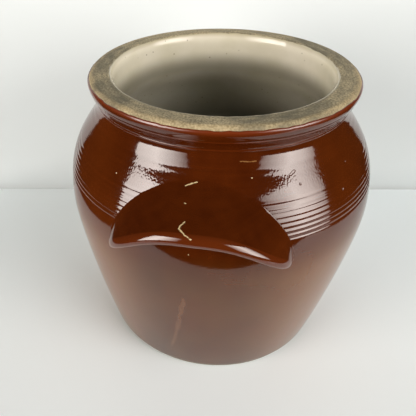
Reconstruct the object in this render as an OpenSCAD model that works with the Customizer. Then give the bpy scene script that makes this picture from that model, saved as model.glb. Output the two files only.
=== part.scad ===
// Confit pot: a thrown stoneware jar with a bare rim, two lugs luted on its shoulder,
// a cream lining glaze and a brown outer glaze. Millimetres, +Z up.
// The origin is the middle of the foot, on the table. The front lug points along -Y.

/* [Body] */
// Height from the table to the top of the rim
height = 227.5; // [205:0.5:260]
// Diameter of the clay where the wall meets the table
foot_d = 189; // [165:1:205]
// Lean of the wall where it leaves the foot, in degrees from upright
foot_lean = 16; // [4:1:24]
// Radius of the worn edge round the foot
foot_round = 3; // [1:0.5:6]
// Diameter of the clay at the widest ring
belly_d = 240; // [220:1:270]
// Height of the widest ring
belly_z = 133; // [115:1:145]
// Thickness of the thrown wall at the widest ring
wall_t = 9; // [6:0.5:13]
// Thickness of the floor
floor_t = 11; // [8:0.5:16]
// Radius between the floor and the inside of the wall
heel_round = 22; // [10:1:35]
// Width of the ring that the pot stands on
foot_ring_w = 20; // [12:1:35]
// Depth of the hollow under the floor, inside that ring
foot_hollow = 2; // [1:0.5:4]

/* [Neck and rim] */
// Diameter of the clay at the narrowest ring of the neck
neck_d = 188; // [160:1:196]
// Height from that ring to the top of the rim
collar_h = 19; // [16:0.5:26]
// How far the rim stands out past that ring
rim_flare = 5.25; // [2:0.25:10]
// Radius over the outer edge of the rim
rim_round = 4.5; // [2.5:0.5:6]
// Thickness of the thrown wall at that ring of the neck
neck_t = 12; // [7:0.5:14]
// Radius over the inner edge of the rim
mouth_round = 3.5; // [2:0.5:5]
// How far the straight throat reaches below the narrowest ring
throat_drop = 8; // [3:1:14]

/* [Glaze] */
// Thickness of both glaze coats
glaze_t = 0.8; // [0.5:0.1:1.2]
// Bare height above the table at the foot
foot_bare = 4; // [3.5:0.5:9]
// Bare height below the top of the rim, outside
rim_bare = 2.6; // [1.5:0.1:4]

/* [Comb band and rings] */
// Number of combed grooves round the shoulder
comb_count = 8; // [1:1:10]
// Distance from one groove to the next
comb_pitch = 3.4; // [2.6:0.1:4]
// Height of the top groove below the top of the rim
comb_drop = 48.7; // [46:0.1:58]
// Width of a groove
comb_w = 2.4; // [1.4:0.1:2.5]
// Depth of a groove as it shows in the glaze
comb_depth = 0.3; // [0.2:0.05:0.6]
// Number of soft throwing rings under the neck
ring_count = 2; // [1:1:3]
// Distance from one throwing ring to the next
ring_pitch = 5.5; // [5:0.1:6]
// Height of the top throwing ring below the top of the rim
ring_drop = 26.7; // [23:0.1:29]
// Width of a throwing ring
ring_w = 4.6; // [3:0.1:5]
// Height of a throwing ring
ring_h = 0.3; // [0.1:0.05:0.8]
// Number of fine beads round the neck
bead_count = 2; // [1:1:3]
// Distance from one bead to the next
bead_pitch = 7.2; // [3:0.1:7.5]
// Height of the top bead below the top of the rim
bead_drop = 10.8; // [7:0.1:11]
// Width of a bead
bead_w = 1.8; // [1:0.1:3]
// Height of a bead
bead_h = 0.5; // [0.2:0.05:0.8]

/* [Lugs] */
// Height of a lug's highest point below the top of the rim
lug_drop = 36; // [33:0.5:42]
// Height from a lug's ends to that point
lug_h = 52; // [42:1:62]
// Half of a lug's width, measured straight across the front
lug_half_w = 62.5; // [45:0.5:75]
// How far the middle of the lip stands off the wall
lug_reach = 24; // [16:1:34]
// How far the middle of the lip hangs below the lug's highest point
lip_drop = 19; // [10:0.5:24]
// Thickness of a lug at its lip
lug_t = 8.4; // [6:0.2:12]
// How far the root of a lug's lower face lies below the middle of its lip
root_drop = 3; // [1:0.5:8]
// Slope of the lip, in degrees below level
lip_slope = 28; // [5:1:50]
// Thickness of the slip that lutes a lug to the wall
luting_t = 0.4; // [0.3:0.1:0.8]
// Clearance between the wall and the slip and glaze of a lug
seat_gap = 0.1; // [0.05:0.01:0.2]
// Thickness of a lug's clay at the edge that is smoothed on to the wall
edge_t = 0.4; // [0.2:0.1:1]

/* [Hidden] */

clay_colour = "#cdb78d";
cream_colour = "#d8d2bd";
brown_colour = "#6b2d0e";
slip_colour = "#b79a6c";
$fn = 180;

// Tautness of the wall's curves at each end, as shares of the curve's height
foot_pull = 0.25;
heel_pull = 0.18;
shoulder_pull = 0.69;
neck_pull = 0.26;
collar_pull = 0.36;
// Steps in each curve of the wall, and in a rounded edge
lower_steps = 12;
shoulder_steps = 20;
collar_steps = 8;
edge_steps = 8;
// Tautness of the upper and the lower face of a lug, as shares of their length
top_pull = 0.35;
lip_pull = 0.45;
low_pull = 0.4;
// How flat the lip and the upper join run in the middle before they fall to the lug's ends
lip_bow = 1.22;
join_bow = 1.3;
// How pointed the lug is from above
lip_taper = 0.9;
// Steps in each face of a lug and round its lip
face_steps = 6;
lip_steps = 5;

foot_r = foot_d / 2;
belly_r = belly_d / 2;
neck_r = neck_d / 2;
rim_r = neck_r + rim_flare;
mouth_r = neck_r - neck_t;
inner_belly_r = belly_r - wall_t;
neck_z = height - collar_h;
throat_z = neck_z - throat_drop;
crown_z = height - rim_round;

// A cubic curve through n steps from a to d, leaving along b and arriving along c
function curve(a, b, c, d, n) = [for (i = [0:n]) let (t = i / n, s = 1 - t)
    s * s * s * a + 3 * s * s * t * b + 3 * s * t * t * c + t * t * t * d];
// An arc round c from angle a0 to a1
function arc(c, r, a0, a1, n) = [for (i = [0:n]) let (a = a0 + (a1 - a0) * i / n) c + r * [cos(a), sin(a)]];
// A list without its first item, where the piece before it already ends there
function rest(list) = [for (i = [1:len(list) - 1]) list[i]];
function backwards(list) = [for (i = [len(list) - 1:-1:0]) list[i]];
function unit(v) = v / norm(v);
// A path moved sideways by d, to the left of its direction
function beside(path, d) =
    let (last = len(path) - 1)
    [for (i = [0:last])
        let (along = unit(path[min(i + 1, last)] - path[max(i - 1, 0)]))
        path[i] + d * [-along[1], along[0]]];

// Outside of the clay wall, from the foot's worn edge up over the rim, as [radius, height]
lean = [sin(foot_lean), cos(foot_lean)];
wall_start = [foot_r, 0] + foot_round * (1 - sin(foot_lean)) / cos(foot_lean) * lean;
lower_h = belly_z - wall_start[1];
shoulder_h = neck_z - belly_z;
collar_rise = crown_z - neck_z;
belly = [belly_r, belly_z];
neck = [neck_r, neck_z];
crown = [rim_r, crown_z];
up = [0, 1];
lower_wall = curve(wall_start, wall_start + foot_pull * lower_h * lean,
                   belly - heel_pull * lower_h * up, belly, lower_steps);
shoulder = curve(belly, belly + shoulder_pull * shoulder_h * up,
                 neck - neck_pull * shoulder_h * up, neck, shoulder_steps);
collar = curve(neck, neck + collar_pull * collar_rise * up,
               crown - collar_pull * collar_rise * up, crown, collar_steps);
rim_edge = arc([rim_r - rim_round, crown_z], rim_round, 0, 90, edge_steps);
wall = concat(lower_wall, rest(shoulder), rest(collar), rest(rim_edge));
wall_heights = [for (p = wall) [p[1], p[0]]];
function wall_r(z) = lookup(z, wall_heights);
function on_wall(z) = [wall_r(z), z];
// Direction down the wall at height z, and the direction straight out of it
slope_step = 0.5;
function down_wall(z) = unit(on_wall(z - slope_step) - on_wall(z + slope_step));
function off_wall(z) = let (d = down_wall(z)) [-d[1], d[0]];

// Inside of the clay wall, from where the lining, lapped over the mouth's edge, is level with the rim,
// down to the middle of the floor
mouth_middle = [mouth_r + mouth_round, height - mouth_round];
lap_angle = 180 - asin(mouth_round / (mouth_round + glaze_t));
lap = arc(mouth_middle, mouth_round, lap_angle, 180, edge_steps);
inner_shoulder_h = throat_z - belly_z;
heel_reach = wall_t + heel_round;
heel_s = (floor_t + heel_round - heel_reach * sin(foot_lean)) / cos(foot_lean);
heel_middle = [foot_r, 0] + heel_s * lean - heel_reach * [cos(foot_lean), -sin(foot_lean)];
heel = arc(heel_middle, heel_round, -foot_lean, -90, edge_steps);
inner_lower_h = belly_z - heel[0][1];
inner_belly = [inner_belly_r, belly_z];
throat = [mouth_r, throat_z];
inside = concat(
    lap,
    curve(throat, throat - neck_pull * inner_shoulder_h * up,
          inner_belly + shoulder_pull * inner_shoulder_h * up, inner_belly, shoulder_steps),
    rest(curve(inner_belly, inner_belly - heel_pull * inner_lower_h * up,
               heel[0] + foot_pull * inner_lower_h * lean, heel[0], lower_steps)),
    rest(heel),
    [[0, floor_t]]);

// The thrown body: foot ring, wall, collar and floor in one piece of fired clay
module stoneware_body() {
    hollow_r = foot_r - foot_ring_w;
    foot_middle = wall_start + foot_round * [-cos(foot_lean), sin(foot_lean)];
    foot_edge = arc(foot_middle, foot_round, -90, -foot_lean, edge_steps);
    mouth_edge = arc(mouth_middle, mouth_round, 90, lap_angle, edge_steps);
    underside = [[0, foot_hollow], [hollow_r - foot_hollow, foot_hollow], [hollow_r, 0]];
    color(clay_colour)
        rotate_extrude()
            polygon(concat(underside, foot_edge, rest(wall), mouth_edge, rest(inside)));
}

// The cream glaze that lines the pot
module inner_glaze() {
    color(cream_colour)
        rotate_extrude()
            polygon(concat(inside, backwards(beside(inside, -glaze_t))));
}

// Lines round the pot, from the lowest up, each as [height, width, relief]
function lines(count, pitch, drop, width, relief) =
    [for (i = [count - 1:-1:0]) [height - drop - i * pitch, width, relief]];
// What is combed into the brown glaze or stands out of it
relief = concat(
    lines(comb_count, comb_pitch, comb_drop, comb_w, -comb_depth),
    lines(ring_count, ring_pitch, ring_drop, ring_w, ring_h),
    lines(bead_count, bead_pitch, bead_drop, bead_w, bead_h));
function swell(x) = abs(x) < 0.5 ? (1 + cos(360 * x)) / 2 : 0;
function relief_at(z) = [for (f = relief) f[2] * swell((z - f[0]) / f[1])] * [for (f = relief) 1];
coat_low = foot_bare;
coat_high = height - rim_bare;
function relief_low(i) = i == len(relief) ? coat_high : relief[i][0] - relief[i][1] / 2;
function relief_high(i) = i < 0 ? coat_low : relief[i][0] + relief[i][1] / 2;
// Heights at which the glaze's outline has a point: each ring of the wall, and five for each line
relief_steps = 4;
coat_heights = concat(
    [coat_low],
    [for (i = [0:len(relief)]) each concat(
        [for (p = wall) if (p[1] > relief_high(i - 1) && p[1] < relief_low(i)) p[1]],
        i < len(relief)
            ? [for (k = [0:relief_steps]) relief[i][0] + (k / relief_steps - 0.5) * relief[i][1]]
            : [])],
    [coat_high]);
coat_inside = concat(
    [on_wall(coat_low)],
    [for (p = wall) if (p[1] > coat_low && p[1] < coat_high) p],
    [on_wall(coat_high)]);

// The brown glaze from above the foot to the edge of the rim, open where each lug is luted on
module outer_glaze() {
    coat_outside = [for (z = coat_heights) on_wall(z) + (glaze_t + relief_at(z)) * off_wall(z)];
    color(brown_colour)
        difference() {
            rotate_extrude()
                polygon(concat(coat_outside, backwards(coat_inside)));
            lug_window();
            rear() lug_window();
        }
}

lug_top_z = height - lug_drop;
lug_end_z = lug_top_z - lug_h;
lip_mid_z = lug_top_z - lip_drop;
// A lug is cut across into slices, by a turn that runs from one end of the lug to the other
end_angle = 84;
nose_angle = 2;
lug_steps = 30;
turns = [for (i = [0:lug_steps]) end_angle * (2 * i / lug_steps - 1)];
// The lip's direction and the direction square to it, upwards
lip_dir = [cos(lip_slope), -sin(lip_slope)];
lip_up = [sin(lip_slope), cos(lip_slope)];

// Distance in front of the pot's axis of the wall at height z, x to the side and t above the clay
function wall_out(x, z, t) = let (r = wall_r(z) + t) sqrt(r * r - x * x);
// How far along the lug x lies, from 0 in the middle to 1 at the ends
function share(x) = min(abs(x) / lug_half_w, 1);
// Share of the full thickness there: the ends of a lug are round like a nose
nose_power = 12;
function nose(x) = sqrt(1 - pow(share(x), nose_power));
// Height of the middle of the lip, and how much of the full reach it has
function lip_height(x) = lug_end_z + (lip_mid_z - lug_end_z) * cos(90 * pow(share(x), lip_bow));
function lip_out(x) = pow(1 - pow(share(x), 2), lip_taper);
// Where a slice stands, and where its top and root are, with coat the glaze on the clay
function slice_x(turn, coat) = (lug_half_w + coat) * sin(turn);
function slice_top_z(turn, coat) = lug_end_z + lug_h * pow(cos(turn), join_bow) + coat;
function slice_root_z(turn, coat) =
    let (x = slice_x(turn, coat)) lip_height(x) - root_drop * nose(x) - coat;

// Outline of a slice as [distance in front, height]. The upper face leaves the wall, levels out and
// rolls over the lip, the lip is round, and the lower face curves back to the wall. At the lug's ends the
// glazed lip lies on the wall's glaze. The outline starts and ends at base above the wall's clay.
function slice(turn, coat, base) =
    let (full = cos(turn),
         x = slice_x(turn, coat),
         out = lip_out(x),
         lip_z = lip_height(x),
         top_z = slice_top_z(turn, coat),
         root_z = slice_root_z(turn, coat),
         edge = luting_t + edge_t + coat,
         clay_r = lug_t / 2 * nose(x),
         lip_seat = luting_t + edge_t + 2 * glaze_t + clay_r,
         top = [wall_out(x, top_z, edge), top_z],
         root = [wall_out(x, root_z, edge), root_z],
         lip = [wall_out(x, lip_z, lip_seat * (1 - out)) + lug_reach * out, lip_z],
         lip_r = clay_r + coat,
         top_edge = lip + lip_r * lip_up,
         low_edge = lip - lip_r * lip_up,
         leave = unit(full * down_wall(top_z) + (1 - full) * unit(top_edge - top)),
         run = norm(top_edge - top) * full,
         low_run = norm(low_edge - root) * full)
    concat(
        [[wall_out(x, top_z, base), top_z]],
        curve(top, top + top_pull * run * leave,
              top_edge - lip_pull * run * lip_dir, top_edge, face_steps),
        rest(arc(lip, lip_r, 90 - lip_slope, -90 - lip_slope, lip_steps)),
        rest(curve(low_edge, low_edge - low_pull * low_run * lip_dir,
                   root + low_pull * low_run * off_wall(root_z), root, face_steps)),
        [[wall_out(x, root_z, base), root_z]]);
function placed(x, outline) = [for (p = outline) [x, -p[0], p[1]]];

function middle(ring) = [for (p = ring) 1] * ring / len(ring);

// A solid lofted through rings of equally many points, from left to right, with each end closed round
// its middle. Where the last points of a ring run backwards along a face of another loft, the squares
// there are split as on that loft.
module loft(rings, backward = 0) {
    n = len(rings[0]);
    last = len(rings) - 1;
    points = concat([for (ring = rings) each ring], [middle(rings[0]), middle(rings[last])]);
    left_middle = len(points) - 2;
    right_middle = len(points) - 1;
    sides = [for (i = [0:last - 1], j = [0:n - 1])
        let (a = i * n + j, b = i * n + (j + 1) % n)
        each j < n - backward ? [[a, b + n, b], [a, a + n, b + n]] : [[a, a + n, b], [b, a + n, b + n]]];
    left_end = [for (j = [0:n - 1]) [left_middle, j, (j + 1) % n]];
    right_end = [for (j = [0:n - 1]) [right_middle, last * n + (j + 1) % n, last * n + j]];
    polyhedron(points, concat(sides, left_end, right_end));
}

module rear() {
    rotate(180) children();
}

// The opening in the brown glaze that the front lug, with its own glaze, fills
module lug_window() {
    tops = [for (turn = turns) [slice_x(turn, glaze_t), slice_top_z(turn, glaze_t)]];
    roots = [for (turn = turns) [slice_x(turn, glaze_t), slice_root_z(turn, glaze_t)]];
    rotate([90, 0, 0])
        linear_extrude(belly_r + lug_reach)
            polygon(concat(roots, backwards(tops)));
}

// A line down the wall behind a lug, t above the clay, without skip points at each end
bed_steps = 10;
function bed(turn, t, skip = 0) =
    let (x = slice_x(turn, 0), top_z = slice_top_z(turn, 0), fall = slice_root_z(turn, 0) - top_z)
    placed(x, [for (k = [skip:bed_steps - skip])
        let (z = top_z + fall * k / bed_steps) [wall_out(x, z, t), z]]);

// The clay of a lug, seated on its bed of slip
module lug_clay() {
    color(clay_colour)
        loft([for (turn = turns) concat(
                 placed(slice_x(turn, 0), slice(turn, 0, luting_t)),
                 backwards(bed(turn, luting_t, 1)))],
             bed_steps);
}

// The slip between a lug and the wall
module luting() {
    color(slip_colour)
        loft([for (turn = turns) concat(bed(turn, luting_t), backwards(bed(turn, seat_gap)))]);
}

// The glaze over a lug: a skin between the glazed form and the clay one, closed at both ends
module lug_glaze() {
    skin = [for (turn = turns) concat(
        placed(slice_x(turn, glaze_t), slice(turn, glaze_t, seat_gap)),
        backwards(placed(slice_x(turn, 0), slice(turn, 0, seat_gap))))];
    color(brown_colour)
        loft(concat([skin_end(-end_angle - nose_angle)], skin, [skin_end(end_angle + nose_angle)]),
             len(skin[0]) / 2);
}

// A ring of the skin beyond the end of the clay, where it closes straight across the wall
function skin_end(turn) =
    let (outline = slice(turn, glaze_t, seat_gap), n = len(outline),
         top = outline[0], root = outline[n - 1])
    placed(slice_x(turn, glaze_t), concat(outline, [for (k = [1:n]) root + (top - root) * k / (n + 1)]));

module front_lug() { lug_clay(); }
module front_luting() { luting(); }
module front_lug_glaze() { lug_glaze(); }
module rear_lug() { rear() lug_clay(); }
module rear_luting() { rear() luting(); }
module rear_lug_glaze() { rear() lug_glaze(); }

stoneware_body();
inner_glaze();
outer_glaze();
front_lug();
front_luting();
front_lug_glaze();
rear_lug();
rear_luting();
rear_lug_glaze();
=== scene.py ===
# %% [markdown]
# # A glazed stoneware confit pot
# The pot was thrown on a wheel, two lugs were luted on its shoulder, and it was glazed brown outside
# and cream inside. The rim stayed bare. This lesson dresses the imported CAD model: every piece takes the
# place and the main sizes of its CAD node, and gets a fine mesh and a finish of its own.

# %% The frame
import math
import bmesh
import bpy
import numpy as np
from mathutils import Matrix, Vector


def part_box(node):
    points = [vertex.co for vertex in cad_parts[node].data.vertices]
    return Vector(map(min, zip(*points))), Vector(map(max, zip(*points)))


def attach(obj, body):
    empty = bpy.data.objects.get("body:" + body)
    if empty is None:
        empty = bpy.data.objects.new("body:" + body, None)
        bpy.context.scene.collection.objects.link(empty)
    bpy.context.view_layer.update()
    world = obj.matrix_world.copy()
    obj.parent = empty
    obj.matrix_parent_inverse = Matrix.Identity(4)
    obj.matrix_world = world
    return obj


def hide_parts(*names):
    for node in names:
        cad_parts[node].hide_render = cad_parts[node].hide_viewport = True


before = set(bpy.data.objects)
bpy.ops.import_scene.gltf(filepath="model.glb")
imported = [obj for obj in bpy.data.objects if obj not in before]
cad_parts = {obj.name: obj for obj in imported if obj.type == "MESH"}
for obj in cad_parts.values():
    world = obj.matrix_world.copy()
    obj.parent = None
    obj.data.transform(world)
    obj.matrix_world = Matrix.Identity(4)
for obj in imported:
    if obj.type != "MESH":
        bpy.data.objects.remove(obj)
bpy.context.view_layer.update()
MM = 0.001
print("CAD nodes:", sorted(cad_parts))

# %% [markdown]
# ## The camera
# The photograph looks down into the mouth from close by, so its lens and place were worked out from the
# outlines of the rim, the belly and the foot. The camera stands a little to the right of the front lug.
# Its turn is built from three angles, so that each can be read and changed by itself. The photograph is
# part of a wider picture, so the lens's middle lies to the left of its own, and the lens is shifted.

# %% The camera
PHOTO_SIDE = 416
FOCAL = 500
SENSOR = 36
CAMERA_OUT = 363.3 * MM
CAMERA_UP = 360.3 * MM
CAMERA_ROUND = math.radians(5.5)
LOOK_DOWN = math.radians(35.75)
LOOK_ASIDE = math.radians(-6.88)
CAMERA_ROLL = math.radians(-1.16)
LENS_MIDDLE = (166.6, 206.7)

ahead = Vector((math.sin(LOOK_ASIDE) * math.cos(LOOK_DOWN), math.cos(LOOK_ASIDE) * math.cos(LOOK_DOWN),
                -math.sin(LOOK_DOWN)))
aside = Vector((math.cos(LOOK_ASIDE), -math.sin(LOOK_ASIDE), 0))
axes = Matrix((aside, aside.cross(ahead), -ahead)).transposed() @ Matrix.Rotation(CAMERA_ROLL, 3, "Z")
round_pot = Matrix.Rotation(CAMERA_ROUND, 4, "Z")
camera = bpy.data.objects.new("camera", bpy.data.cameras.new("camera"))
camera.data.sensor_width = SENSOR
camera.data.lens = SENSOR * FOCAL / PHOTO_SIDE
camera.data.shift_x = 0.5 - LENS_MIDDLE[0] / PHOTO_SIDE
camera.data.shift_y = LENS_MIDDLE[1] / PHOTO_SIDE - 0.5
camera.matrix_world = round_pot @ Matrix.Translation((0, -CAMERA_OUT, CAMERA_UP)) @ axes.to_4x4()
bpy.context.scene.collection.objects.link(camera)
bpy.context.scene.camera = camera
print(f"lens {camera.data.lens:.1f} mm, camera {camera.location.length:.3f} m from the middle of the foot")

# %% [markdown]
# ## Colours and nodes
# Colours are written as the hex values that a colour picker shows, and one function turns them into the
# linear light that Blender mixes. Another small function adds a node with its settings and its links,
# because every tree below, for shapes and for finishes alike, is a chain of such nodes.

# %% Helpers for colours and nodes
MIX_A, MIX_B, MIX_OUT = 6, 7, 2


def linear(code):
    parts = [int(code[i:i + 2], 16) / 255 for i in (1, 3, 5)]
    return tuple(p / 12.92 if p <= 0.04045 else ((p + 0.055) / 1.055) ** 2.4 for p in parts) + (1,)


def feed(tree, node, feeds):
    """Link each input to its source, or set it where the source is a plain value."""
    for name, source in feeds.items():
        if isinstance(source, bpy.types.NodeSocket):
            tree.links.new(source, node.inputs[name])
        else:
            node.inputs[name].default_value = source


def add(tree, kind, feeds=None, **settings):
    node = tree.nodes.new(kind)
    for name, value in settings.items():
        setattr(node, name, value)
    feed(tree, node, feeds or {})
    return node


def per(size):
    """Texture scale at which a pattern's features are about this many millimetres across."""
    return 1 / (size * MM)


def new_material(name):
    material = bpy.data.materials.new(name)
    material.use_nodes = True
    tree = material.node_tree
    return material, tree, tree.nodes["Principled BSDF"]


def set_stops(ramp, *stops):
    """Give a colour ramp these (place, colour) stops."""
    elements = ramp.color_ramp.elements
    while len(elements) < len(stops):
        elements.new(0.5)
    for element, (place, colour) in zip(elements, stops):
        element.position = place
        element.color = colour


print("white is", linear("#ffffff"))

# %% [markdown]
# ## Small marks
# A pot that was used for years has chips, scratches and pits in its glaze. Painting them on an image would
# need a texture, so a small node group draws each one instead: it measures how far a point of the surface
# lies from a short line. A dot is a line that ends where it starts.

# %% A mark along a line
MARK_CORE = 0.3


def line_mark():
    tree = bpy.data.node_groups.new("mark_along_a_line", "ShaderNodeTree")
    for name, kind in (("Place", "Vector"), ("From", "Vector"), ("To", "Vector"), ("Width", "Float")):
        tree.interface.new_socket(name, in_out="INPUT", socket_type="NodeSocket" + kind)
    tree.interface.new_socket("Mask", in_out="OUTPUT", socket_type="NodeSocketFloat")
    given = add(tree, "NodeGroupInput").outputs
    offset, line = [
        add(tree, "ShaderNodeVectorMath", {0: given[end], 1: given["From"]}, operation="SUBTRACT").outputs[0]
        for end in ("Place", "To")]
    along, whole = [
        add(tree, "ShaderNodeVectorMath", {0: arrow, 1: line}, operation="DOT_PRODUCT").outputs["Value"]
        for arrow in (offset, line)]
    share = add(tree, "ShaderNodeMath", {0: along, 1: whole}, operation="DIVIDE", use_clamp=True)
    nearest = add(tree, "ShaderNodeVectorMath", {0: line, "Scale": share.outputs[0]}, operation="SCALE")
    away = add(tree, "ShaderNodeVectorMath", {0: offset, 1: nearest.outputs[0]}, operation="DISTANCE")
    widths = add(tree, "ShaderNodeMath", {0: away.outputs["Value"], 1: given["Width"]}, operation="DIVIDE")
    mask = add(tree, "ShaderNodeMapRange", {"Value": widths.outputs[0], "From Min": MARK_CORE,
                                            "From Max": 1.0, "To Min": 1.0, "To Max": 0.0},
               interpolation_type="SMOOTHSTEP")
    add(tree, "NodeGroupOutput", {"Mask": mask.outputs[0]})
    return tree


LINE_MARK = line_mark()
print("a mark takes", len(LINE_MARK.nodes), "nodes")

# %% [markdown]
# The finishes below are masks and layers of colour. A few helpers put them together: marks along several
# lines, a place shaken by a noise for ragged edges, a band at one height, a weighted sum, and colours laid
# over each other as a potter lays coats.

# %% Masks, sums and layers
def marks(tree, place, width, *paths):
    """Mask of marks of this width in millimetres along paths of points on the pot."""
    mask = None
    for path in paths:
        for start, stop in zip(path, path[1:] or path):
            mark = add(tree, "ShaderNodeGroup", {"Place": place, "From": Vector(start) * MM,
                                                 "To": Vector(stop) * MM, "Width": width * MM},
                       node_tree=LINE_MARK)
            mask = mark.outputs[0] if mask is None else add(
                tree, "ShaderNodeMath", {0: mask, 1: mark.outputs[0]}, operation="MAXIMUM").outputs[0]
    return mask


def shaken(tree, place, size, reach):
    """The place moved about by a noise, so that a mark gets a ragged edge."""
    noise = add(tree, "ShaderNodeTexNoise", {"Vector": place, "Scale": per(size), "Detail": 2.0})
    swing = add(tree, "ShaderNodeVectorMath", {0: noise.outputs["Color"], 1: (0.5, 0.5, 0.5)},
                operation="SUBTRACT")
    moved = add(tree, "ShaderNodeVectorMath", {0: swing.outputs[0], 1: (2 * reach * MM,) * 3, 2: place},
                operation="MULTIPLY_ADD")
    return moved.outputs[0]


def band(tree, height, middle, reach):
    """1 at a height in millimetres, fading to 0 at this reach above and below it."""
    offset = add(tree, "ShaderNodeMath", {0: height, 1: middle * MM}, operation="SUBTRACT").outputs[0]
    away = add(tree, "ShaderNodeMath", {0: offset}, operation="ABSOLUTE").outputs[0]
    return add(tree, "ShaderNodeMapRange", {"Value": away, "From Min": reach * MM, "From Max": 0.0},
               interpolation_type="SMOOTHSTEP").outputs[0]


def total(tree, *terms):
    """Sum of (value, factor) pairs, each a number or a node's output."""
    result = 0.0
    for value, factor in terms:
        result = add(tree, "ShaderNodeMath", {0: value, 1: factor, 2: result},
                     operation="MULTIPLY_ADD").outputs[0]
    return result


def layered(tree, ground, *coats):
    """Colour of a ground with coats over it, each a (share, hex colour) pair."""
    for share, code in coats:
        mix = add(tree, "ShaderNodeMix", {0: share, MIX_A: ground, MIX_B: linear(code)}, data_type="RGBA")
        ground = mix.outputs[MIX_OUT]
    return ground


print("helpers:", ", ".join(helper.__name__ for helper in (marks, shaken, band, total, layered)))

# %% [markdown]
# ## Brown glaze
# An iron glaze, brushed or dipped over the outside and fired until it ran to glass. It gives the eye a wet
# gloss with a slow orange-peel ripple and a dark red-brown in clouds. It is lighter where the coat is thin:
# on the beads and the lip, and at the rim. The sides are painted lighter and more orange, as painted light
# where the windows fall on them. Low down, a lighter, warmer brown is a painted reflection of the white
# table, most of all at both sides. Fine lines show where the thrower's fingers passed, a ring of grit stands
# in it on the shoulder, and a few chips show the clay. An image could hold all this, but noises and masks
# need no seam and stay sharp close by. The marks lie where the photograph shows them. All sizes are in
# millimetres.

# %% Marks in the brown glaze
SQUIGGLE = [(-5.1, -130.2, 180.3), (-7.5, -133.2, 179.0), (-8.0, -134.8, 178.2), (-4.1, -138.6, 177.0),
            (0.3, -140.5, 175.4)]
DASH = [(-9.0, -105.2, 188.9), (-5.2, -103.5, 190.2), (-2.5, -102.8, 190.8)]
CHIPS = [[(-7.6, -117.4, 184.3), (-6.9, -117.6, 184.3)], [(-4.4, -120.2, 145.6)],
         [(-58.9, -89.9, 183.4)], [(31.0, -95.6, 193.2)]]
SCRATCH = [(22.8, -92.9, 202.6), (28.8, -91.4, 202.1), (32.4, -90.1, 202.2)]
PITS = [[(-42.0, -92.2, 192.1)], [(90.7, -53.7, 186.5)], [(90.7, -67.4, 173.7)], [(61.0, -86.1, 186.2)],
        [(56.4, -83.0, 193.5), (54.1, -85.8, 192.0)]]
RUN = [(-8.2, -116.8, 99.9), (-13.2, -109.7, 64.5), (-20.1, -100.6, 28.3)]
CHIP_W, SCRATCH_W, PIT_W, RUN_W = 0.6, 0.5, 1.1, 2.4
RAGGED_SIZE, RAGGED_REACH = 1.5, 0.5
RUN_BEND, RUN_REACH = 9, 2.5
print(len(CHIPS), "chips and", len(PITS), "pits beside the longer marks")

# %% Brown glaze
CLOUD, RUNNEL, FINGER_LINE, BLOTCH, PEEL, GRIT = 55, 8, 2.2, 24, 3.2, 1.1
DOWNWARDS, AROUND, STEEP = (1, 1, 0.14), (0.03, 0.03, 1), (1, 1, 0.5)
PEEL_H, GRIT_H, LINE_H, PIT_H, CHIP_H = 0.024, 0.03, 0.014, -0.25, -0.1
# Painted reflection: between these heights, a lighter, warmer brown fades in low down in place of the
# reflection of the white table.
REFLECTION_FROM_Z, REFLECTION_FULL_Z = 152, 112
# Painted light: between these distances from the middle, the sides are painted lighter and more orange where
# the windows fall on them.
MIDDLE_X, SIDE_X = 25, 95
WORN_Z, RIM_Z = 220.5, 225
SAND_Z, SAND_REACH = 189, 12


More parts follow.
